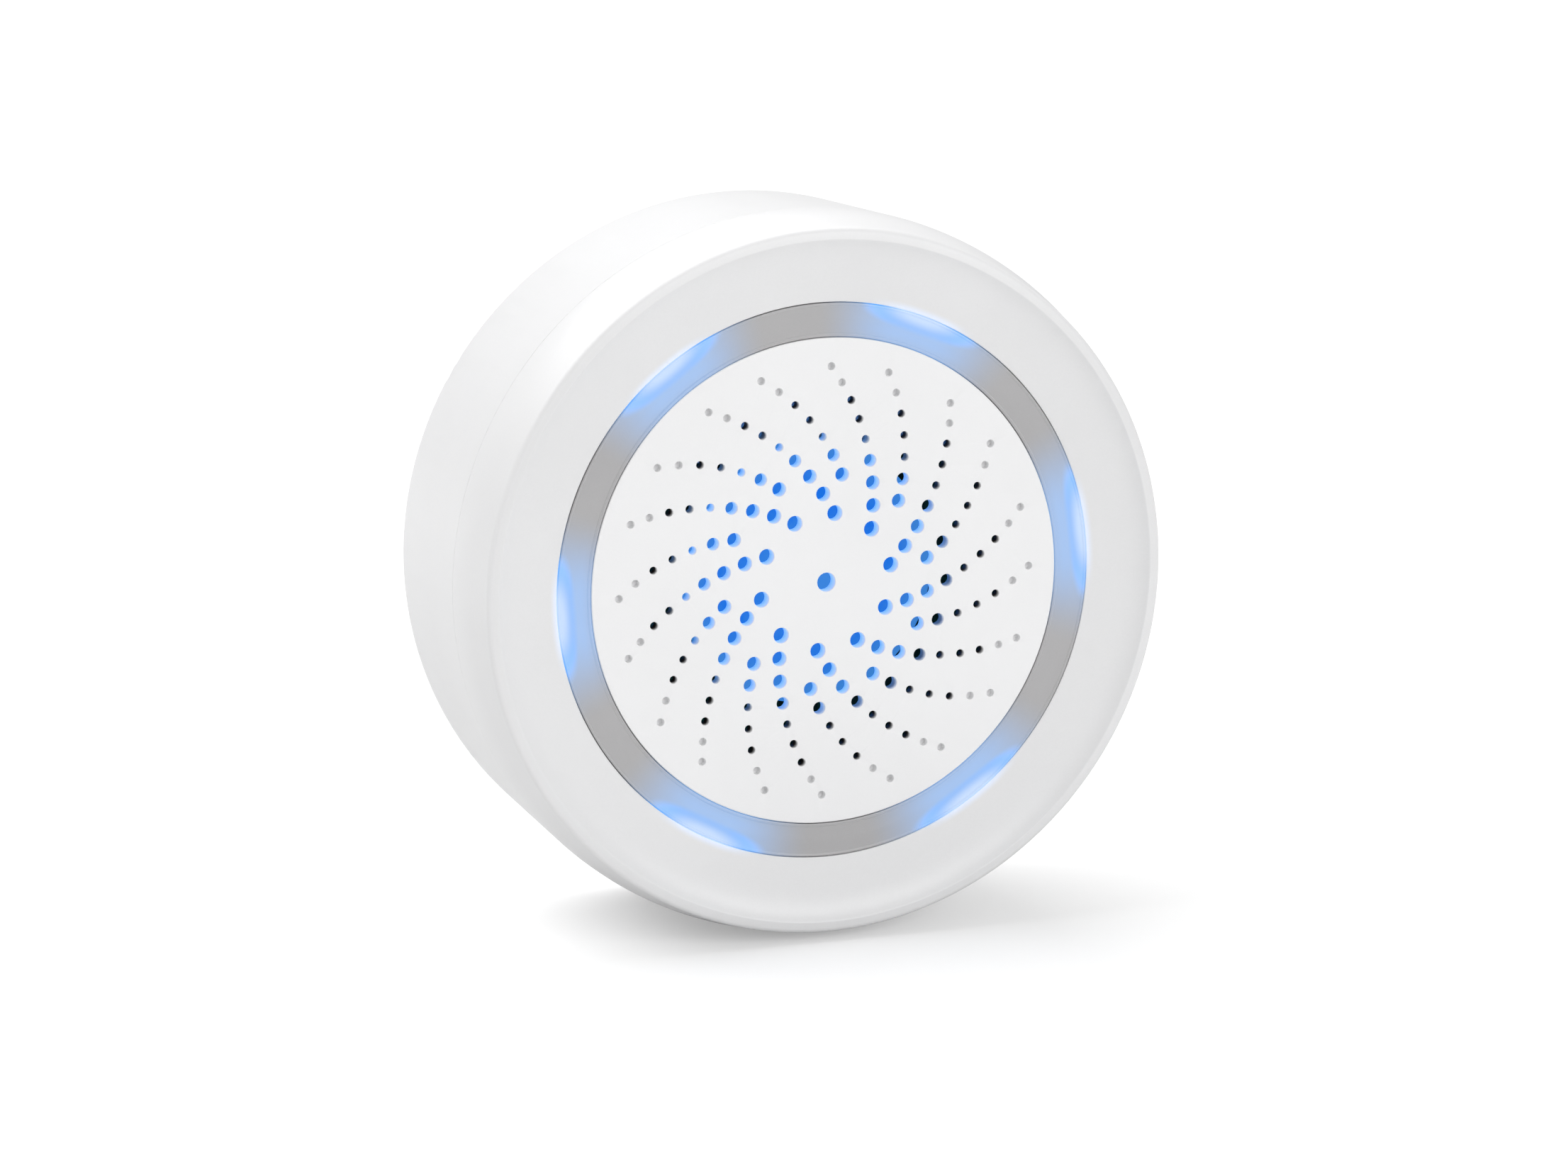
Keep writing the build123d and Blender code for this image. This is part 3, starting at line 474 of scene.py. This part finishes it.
def sounderWhite():
    # The sounder's cap has blue light painted on it as glow, strongest in a broad ring round its middle, over
    # a darkened base colour.
    c = capLight
    material, tree, shader = startMaterial("sounder_white")
    point = objectPoint(tree)
    radius = useGroup(tree, "zones", point)["Radius"]
    tone = useGrain(tree, shader, point, *c["grain"])
    far = calc(tree, "ABSOLUTE", calc(tree, "SUBTRACT", radius, c["ring"]))
    strong = calc(tree, "MULTIPLY", ramp(tree, far, *c["ringFade"], 1.0, 0.0), ramp(tree, tone, *c["mottle"]))
    shallow, deep = ((faceY + y) * mm for y in c["depth"])
    front = ramp(tree, split(tree, point)["Y"], shallow, deep, 1.0, 0.0)
    # painted blue glow on the cap's front, over a darkened base colour
    colour = blendColour(tree, strong, c["colour"], c["strong"])
    useGlow(tree, shader, blendColour(tree, front, (0, 0, 0), colour))
    wire(tree, blendColour(tree, front, c["plain"], c["litBase"]), shader.inputs["Base Color"])
    return material


board = dict(mask=(0.012, 0.085, 0.03), copper=(0.03, 0.16, 0.06), trackPitch=1.27, trackEdge=(0.35, 0.5),
             weave=0.35, weaveShare=0.1, areasPerMm=0.22, areaEdge=(0.49, 0.51), dull=(0.32, 0.42),
             depth=0.03)


def boardLaminate():
    # Solder mask over copper: tracks are the raised half of two crossed waves, over a faint glass weave.
    material, tree, shader = startMaterial("board_laminate", Coat_Weight=0.3, Coat_Roughness=0.2)
    point = objectPoint(tree)
    x, _, z = split(tree, point)
    trackX, trackZ, weaveX, weaveZ = (
        calc(tree, "SINE", calc(tree, "MULTIPLY", axis, 2 * math.pi / (board[pitch] * mm)))
        for pitch in ("trackPitch", "weave") for axis in (x, z))
    areas = noise(tree, point, board["areasPerMm"] / mm, 1.0)
    picked = tree.nodes.new("ShaderNodeMix")        # each area of the board has its tracks one way
    sources = (ramp(tree, areas, *board["areaEdge"]), trackX, trackZ)
    for socket, source in zip(picked.inputs[:1] + picked.inputs[2:4], sources):
        wire(tree, source, socket)
    track = ramp(tree, picked.outputs[0], *board["trackEdge"])
    weave = calc(tree, "MULTIPLY", weaveX, weaveZ)
    wire(tree, blendColour(tree, track, board["mask"], board["copper"]), shader.inputs["Base Color"])
    wire(tree, ramp(tree, weave, -1.0, 1.0, *board["dull"]), shader.inputs["Roughness"])
    height = calc(tree, "ADD", track, calc(tree, "MULTIPLY", weave, board["weaveShare"]))
    useBump(tree, shader, height, board["depth"])
    return material


led = dict(blue=(0.02, 0.22, 0.95), second=(0.10, 0.38, 1.0), tones=(0.3, 0.7), strength=2.0,
           package=(0.7, 0.75, 0.8, 1), grainSize=0.3, dull=0.25)


def ledPackage():
    # A lit blue chip under clear resin in a pale package.
    material, tree, shader = startMaterial("led_package", Coat_Weight=0.8, Coat_Roughness=0.08,
                                           Base_Color=led["package"])
    grain = useGroup(tree, "grain", objectPoint(tree), Grain_Size=led["grainSize"], Dull=led["dull"])
    blue = blendColour(tree, ramp(tree, grain["Tone"], *led["tones"]), led["blue"], led["second"])
    useGlow(tree, shader, blue, led["strength"])
    wire(tree, grain["Roughness"], shader.inputs["Roughness"])
    return material


label = dict(band=(0.72, 0.73, 0.75), colour=(0.05, 0.16, 0.36), edge=9.0, edgeHalf=0.1, perMm=0.9,
             ends=(12.0, 16.5), endDepth=(0.1, 1.0), tones=(0.3, 0.7), dull=(0.22, 0.34), depth=0.05)


def cellLabel():
    # Shrink sleeve with a coloured stretch and a plain pale one, and fine creases near its ends.
    s = label
    material, tree, shader = startMaterial("cell_label", Coat_Weight=0.5, Coat_Roughness=0.1)
    point = objectPoint(tree)
    x = calc(tree, "DIVIDE", split(tree, point)["X"], mm)
    coloured = ramp(tree, x, s["edge"] - s["edgeHalf"], s["edge"] + s["edgeHalf"], 1.0, 0.0)
    creases = noise(tree, point, s["perMm"] / mm, 5.0)
    ends = ramp(tree, calc(tree, "ABSOLUTE", x), *s["ends"], *s["endDepth"])
    wire(tree, blendColour(tree, coloured, s["band"], s["colour"]), shader.inputs["Base Color"])
    wire(tree, ramp(tree, creases, *s["tones"], *s["dull"]), shader.inputs["Roughness"])
    useBump(tree, shader, calc(tree, "MULTIPLY", creases, ends), s["depth"])
    return material


materials = {name: plastic(name, *finish) for name, finish in plasticFinishes.items()
             if name != "housing_white"}
materials.update({name: metal(name, *finish) for name, finish in metalFinishes.items()})
for make in (housingWhite, frostedLens, grilleWhite, sounderWhite, boardLaminate, ledPackage, cellLabel):
    material = make()
    materials[material.name.split(".")[0]] = material

for node in nodes.values():        # every CAD node takes the finish of its own slot
    slotName = node.material_slots[0].material.name.split(".")[0]
    node.material_slots[0].material = materials[slotName]
print("materials made:", len(materials))


bezel = dict(inner=30.70, crest=37.65, outer=40.0, rise=1.6, side=7.7,
             lipIn=37.2, lipOut=38.3, lipDepth=3.0, lipEdge=0.15, plate=2.0, ringEdge=0.12, crestEdge=0.25,
             dishStart=0.08, lastRise=0.68, lastPower=6, dishSteps=24,
             band=(1.2, 0.22), bandEdge=0.75, shoulder=(0.55, 1.9), sidePower=2.4, sideSteps=16,
             seamEdge=0.04, seamGap=0.02, columns=480)
boss = dict(angles=(45, 135, 225, 315), ring=34.9, outer=2.1, bore=1.12, root=-29.3, boreEnd=-25.0, end=-14.0,
            columns=32)


def frontBezel():
    # Profile turned about the axis. The front rises evenly with the distance from the light ring, and by a
    # high power of it at the end. After a narrow band the side swells by a power until it runs straight back.
    b = bezel
    seam = faceY + b["side"] - b["seamGap"] / 2
    t = np.linspace(0, 1, b["dishSteps"])[1:-1]
    firstRise = b["rise"] + b["dishStart"] - b["lastRise"]
    dish = np.stack([b["inner"] + (b["crest"] - b["inner"]) * t,
                     faceY + b["dishStart"] - firstRise * t - b["lastRise"] * t ** b["lastPower"]], 1)
    t = np.linspace(0, 1, b["sideSteps"])[:-1]
    inset, back = b["shoulder"]
    side = np.stack([b["outer"] - inset * (1 - t) ** b["sidePower"],
                     faceY + back + (seam - faceY - back) * t], 1)
    bandEnd = (b["crest"] + b["band"][0], faceY - b["rise"] + b["band"][1])
    corners = [
        ((b["inner"], faceY + b["plate"]), 0), ((b["inner"], faceY + b["dishStart"]), b["ringEdge"]),
        *((place, 0) for place in dish), ((b["crest"], faceY - b["rise"]), b["crestEdge"]),
        (bandEnd, b["bandEdge"]), *((place, 0) for place in side), ((b["outer"], seam), b["seamEdge"]),
        ((b["lipOut"], seam), 0), ((b["lipOut"], faceY + b["side"] + b["lipDepth"]), b["lipEdge"]),
        ((b["lipIn"], faceY + b["side"] + b["lipDepth"]), 0), ((b["lipIn"], faceY + b["plate"]), 0),
    ]
    profile = roundedProfile([p for p, _ in corners], [r for _, r in corners], 8)
    points = [turnedGrid(profile, b["columns"])]
    faces = [gridFaces(len(profile), b["columns"], True)]
    post = np.array([(0, boss["boreEnd"]), (boss["bore"], boss["boreEnd"]), (boss["bore"], boss["end"]),
                     (boss["outer"], boss["end"]), (boss["outer"], boss["root"]), (0, boss["root"])])
    count = len(points[0])
    for angle in np.radians(boss["angles"]):        # bosses for the housing screws, with their pilot holes
        centre = boss["ring"] * np.cos(angle), boss["ring"] * np.sin(angle)
        points.append(turnedGrid(post, boss["columns"], centre))
        faces.append(gridFaces(len(post), boss["columns"], False, count))
        count += len(points[-1])
    piece = makePiece("bezel_shell", np.concatenate(points), np.concatenate(faces), "siren",
                      materials["housing_white"])
    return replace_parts(piece, "front_bezel")


frontBezel()
print("front bezel made")


def lightRing():
    # Profile turned about the axis: a thin lip at each edge and a slightly crowned band sunk between them.
    s = lens
    plate, back = faceY + s["plate"], faceY + s["back"]
    lip, sunk = faceY + s["lipDrop"], faceY + s["groove"]
    innerLip, outerLip = s["inner"] + s["lipInner"], s["outer"] - s["lipOuter"]
    innerEdge, outerEdge = s["inner"] - s["flange"], s["outer"] + s["flange"]
    corners = [
        ((innerEdge, back), 0), ((innerEdge, plate), 0),
        ((s["inner"], plate), 0), ((s["inner"], faceY), s["edge"]),
        ((innerLip, lip), s["lipRound"][0]), ((innerLip + s["step"], sunk), s["grooveRound"]),
        (((s["inner"] + s["outer"]) / 2, sunk - s["crown"]), s["crownRound"]),
        ((outerLip - s["step"], sunk), s["grooveRound"]), ((outerLip, lip), s["lipRound"][1]),
        ((s["outer"], faceY), s["edge"]), ((s["outer"], plate), 0),
        ((outerEdge, plate), 0), ((outerEdge, back), 0),
    ]
    profile = roundedProfile([p for p, _ in corners], [r for _, r in corners], 5)
    faces = gridFaces(len(profile), s["columns"], True)
    piece = makePiece("lens_ring", turnedGrid(profile, s["columns"]), faces, "siren",
                      materials["frosted_lens"])
    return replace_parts(piece, "light_ring")


lightRing()
print("light ring made")


# Two arms make a pair: centre and radius of the arc, first angle, step, how much each step shrinks, the
# turn of the whole arm, and the radii of its through holes from the middle outwards.
spiralArms = [
    dict(centre=(2.20, 21.55), radius=25.25, start=-79.3, step=5.87, shrink=0.12, turn=0.0,
         holes=[0.86, 0.80, 0.77, 0.69, 0.44, 0.44, 0.44]),
    dict(centre=(4.05, 17.97), radius=21.23, start=-68.7, step=6.53, shrink=0.0, turn=18.0,
         holes=[0.77, 0.69, 0.44, 0.42, 0.42]),
]


def holePlaces():
    # Places along an arm: its arc at the start angle plus the steps so far, then turned about the axis.
    through, blind = [(0.0, 0.0, grille["centreHole"])], []
    turns = np.radians(2 * grille["pitch"] * np.arange(grille["pairs"]))[:, None]
    for arm in spiralArms:
        n = np.arange(len(arm["holes"]) + grille["dimples"])
        angle = np.radians(arm["start"] + arm["step"] * n - arm["shrink"] * n * (n - 1) / 2)
        x = arm["centre"][0] + arm["radius"] * np.cos(angle)
        z = arm["centre"][1] + arm["radius"] * np.sin(angle)
        turn = turns + math.radians(arm["turn"])
        allX, allZ = x * np.cos(turn) - z * np.sin(turn), x * np.sin(turn) + z * np.cos(turn)
        count = len(arm["holes"])
        radii = np.broadcast_to(arm["holes"], (grille["pairs"], count))
        through += list(zip(allX[:, :count].ravel(), allZ[:, :count].ravel(), radii.ravel()))
        blindX, blindZ = allX[:, count:].ravel(), allZ[:, count:].ravel()
        blind += [(px, pz, grille["dimpleRadius"]) for px, pz in zip(blindX, blindZ)]
    return through, blind


def perforatedFace(y, rim, circles, columns):
    # A flat round face at depth y: a constrained triangulation, less the triangles inside the openings.
    loops = [(0.0, 0.0, rim, grille["columns"])] + [(x, z, r, columns) for x, z, r in circles]
    flat, edges, first = [], [], 0
    for x, z, r, steps in loops:
        a = np.linspace(0, 2 * np.pi, steps, endpoint=False)
        flat.append(np.stack([x + r * np.cos(a), z + r * np.sin(a)], 1))
        k = np.arange(steps)
        edges.append(np.stack([k, (k + 1) % steps], 1) + first)
        first += steps
    flat, edges = np.concatenate(flat), np.concatenate(edges)
    verts, _, faces, _, _, _ = delaunay_2d_cdt([Vector(p) for p in flat], edges.tolist(), [], 0, 1e-6)
    verts, faces = np.array([v[:] for v in verts]), np.array(faces)
    middles = verts[faces].mean(1)
    places = np.array(circles)
    gaps = np.hypot(middles[:, None, 0] - places[None, :, 0], middles[:, None, 1] - places[None, :, 1])
    kept = faces[(gaps > places[None, :, 2] * math.cos(math.pi / columns) * 0.999).all(1)]
    return np.stack([verts[:, 0], np.full(len(verts), y), verts[:, 1]], 1), kept


def boreProfile(radius, rounding, bottom):
    # A quarter round, then straight down to the back.
    return np.concatenate([quarterRound(radius, rounding), [(radius, bottom)]])


def dimpleProfile(radius, rounding, depth):
    # A quarter round, a straight wall, then another quarter round into a flat floor.
    a = np.linspace(0, np.pi / 2, 4)
    floor = faceY + depth
    foot = np.stack([radius - rounding * (1 - np.cos(a)), floor - rounding * (1 - np.sin(a))], 1)
    return np.concatenate([quarterRound(radius, rounding), foot, [(0.0, floor)]])


def grilleDisc():
    g = grille
    through, blind = holePlaces()
    back, columns = faceY + g["thickness"], g["holeColumns"]
    front = [(x, z, r + g["holeRound"]) for x, z, r in through + blind]
    parts = [perforatedFace(faceY, g["radius"] - g["edge"], front, columns),
             perforatedFace(back, g["rimInner"], through, columns)]
    plate = faceY + g["plate"]
    rim = np.concatenate([quarterRound(g["radius"], g["edge"], -1, 5),
                          [(g["radius"], plate), (g["rimInner"], plate), (g["rimInner"], back)]])
    parts.append((turnedGrid(rim, g["columns"]), gridFaces(len(rim), g["columns"], False)))
    profiles = [(x, z, boreProfile(r, g["holeRound"], back)) for x, z, r in through]
    profiles += [(x, z, dimpleProfile(r, g["holeRound"], g["dimpleDepth"])) for x, z, r in blind]
    for x, z, profile in profiles:
        parts.append((turnedGrid(profile, columns, (x, z)), gridFaces(len(profile), columns, False)))
    points, faces, first = [], [], 0
    for partPoints, partFaces in parts:
        points.append(partPoints)
        faces += (partFaces + first).tolist()
        first += len(partPoints)
    piece = makePiece("grille_face", np.concatenate(points), faces, "siren",
                      materials["grille_white"], 50)
    flatFace = piece.modifiers.new("flat face", "WEIGHTED_NORMAL")     # large faces keep their own direction
    flatFace.weight = 100
    flatFace.keep_sharp = True
    print("grille:", len(through), "holes and", len(blind), "dimples")
    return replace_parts(piece, "grille_disc")


grilleDisc()


coil = dict(wire=0.18, turns=4.5, stepsPerTurn=28, around=10)


def tamperCoil():
    # A tube along a helix: the middle of ring i is (R cos a, y, R sin a) with y rising evenly with a, and its
    # points lie round it in the plane of the outward direction and the cross product of that and the tangent.
    low, high = (np.array(corner[:]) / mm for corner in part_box("tamper_spring"))
    radius = (high[0] - low[0]) / 2 - coil["wire"]
    start, end = low[1] + coil["wire"], high[1] - coil["wire"]
    rings = int(coil["turns"] * coil["stepsPerTurn"])
    a = np.linspace(0, 2 * np.pi * coil["turns"], rings)
    middle = np.stack([radius * np.cos(a), np.linspace(start, end, rings), radius * np.sin(a)], 1)
    middle += [(low[0] + high[0]) / 2, 0, (low[2] + high[2]) / 2]
    tangent = np.gradient(middle, axis=0)
    tangent /= np.linalg.norm(tangent, axis=1)[:, None]
    outward = np.stack([np.cos(a), 0 * a, np.sin(a)], 1)
    across = np.cross(tangent, outward)
    b = np.linspace(0, 2 * np.pi, coil["around"], endpoint=False)[None, :, None]
    tube = middle[:, None] + coil["wire"] * (np.cos(b) * outward[:, None] + np.sin(b) * across[:, None])
    points = np.concatenate([tube.reshape(-1, 3), middle[[0, -1]]])
    faces = gridFaces(rings, coil["around"], False).tolist()
    around, hub = coil["around"], rings * coil["around"]
    for first, middleOfEnd in ((0, hub), (hub - around, hub + 1)):      # closed ends
        faces += [[first + k, first + (k + 1) % around, middleOfEnd] for k in range(around)]
    piece = makePiece("tamper_coil", points, faces, "siren", materials["spring_steel"])
    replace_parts(piece, "tamper_spring")
    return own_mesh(piece)


tamperCoil()
print("tamper spring made")


# The pieces seen from behind and below keep the CAD's shape and get rounded edges.
softened = {        # CAD node: new piece, body, slot, rounding in mm
    "rear_body": ("rear_shell", "siren", "housing_white", 0.04),
    "wall_bracket": ("bracket_plate", "bracket", "housing_white", 0.2),
    "setup_button": ("button_cap", "button", "button_grey", 0.12),
}
for node, (name, body, slotName, edge) in softened.items():
    softenedCopy(node, name, body, materials[slotName], edge)
print("softened copies made:", len(softened))


studio = dict(floor=-40.0, floorHalf=6.0, floorWhite=0.72, floorLift=0.33, world=0.50, backdrop=1.1)
softboxes = {       # place in metres, width, height, power in watts
    "topBox": ((-0.30, 0.68, 1.40), 2.2, 2.0, 25.5),
    "leftBox": ((-1.00, 0.35, 1.20), 1.0, 1.0, 5.0),
    "frontBox": ((0.45, -1.25, 0.50), 1.0, 0.6, 7.2),
}
shot = dict(azimuth=-20.19, elevation=11.58, distance=0.6301, lens=127.3, sensor=36.0,
            aim=(0.0052, -0.0033, -0.0063))     # angles in degrees, distance and aim in metres


def studioFloor():
    # White paper under the siren, a little lifted for the camera so that it runs into the backdrop.
    half, z = studio["floorHalf"], studio["floor"] * mm
    corners = [(-half, -half, z), (half, -half, z), (half, half, z), (-half, half, z)]
    mesh = bpy.data.meshes.new("floor")
    mesh.from_pydata(corners, [], [(0, 1, 2, 3)])
    floor = bpy.data.objects.new("floor", mesh)
    bpy.context.scene.collection.objects.link(floor)
    white = studio["floorWhite"]
    material, tree, shader = startMaterial("floor_paper", Base_Color=(white, white, white, 1), Roughness=0.6,
                                           Specular_IOR_Level=0.2, Emission_Color=(1, 1, 1, 1))
    seen = tree.nodes.new("ShaderNodeLightPath").outputs["Is Camera Ray"]
    wire(tree, calc(tree, "MULTIPLY", seen, studio["floorLift"]), shader.inputs["Emission Strength"])
    mesh.materials.append(material)


def studioLight():
    # An even white surround, brighter where the camera sees it, and three softboxes aimed at the siren.
    world = bpy.data.worlds.new("studio")
    bpy.context.scene.world = world
    world.use_nodes = True
    tree = world.node_tree
    ambient = tree.nodes["Background"]
    ambient.inputs["Color"].default_value = (1, 1, 1, 1)
    ambient.inputs["Strength"].default_value = studio["world"]
    seen = tree.nodes.new("ShaderNodeBackground")
    seen.inputs["Strength"].default_value = studio["backdrop"]
    pick = tree.nodes.new("ShaderNodeMixShader")
    tree.links.new(tree.nodes.new("ShaderNodeLightPath").outputs["Is Camera Ray"], pick.inputs[0])
    tree.links.new(ambient.outputs[0], pick.inputs[1])
    tree.links.new(seen.outputs[0], pick.inputs[2])
    tree.links.new(pick.outputs[0], tree.nodes["World Output"].inputs["Surface"])
    for name, (place, width, height, power) in softboxes.items():
        data = bpy.data.lights.new(name, "AREA")
        data.shape, data.size, data.size_y, data.energy = "RECTANGLE", width, height, power
        box = bpy.data.objects.new(name, data)
        box.location = place
        box.rotation_mode = "QUATERNION"
        box.rotation_quaternion = (-Vector(place)).to_track_quat("-Z", "Y")
        bpy.context.scene.collection.objects.link(box)
    bpy.context.scene.view_settings.view_transform = "Standard"


def studioCamera():
    a, e = math.radians(shot["azimuth"]), math.radians(shot["elevation"])
    back = Vector((math.sin(a) * math.cos(e), -math.cos(a) * math.cos(e), math.sin(e)))
    data = bpy.data.cameras.new("camera")
    data.lens, data.sensor_width, data.clip_start = shot["lens"], shot["sensor"], 0.01
    camera = bpy.data.objects.new("camera", data)
    camera.location = Vector(shot["aim"]) + back * shot["distance"]
    camera.rotation_mode = "QUATERNION"
    camera.rotation_quaternion = (-back).to_track_quat("-Z", "Y")
    bpy.context.scene.collection.objects.link(camera)
    bpy.context.scene.camera = camera


studioFloor()
studioLight()
studioCamera()
print("studio ready")
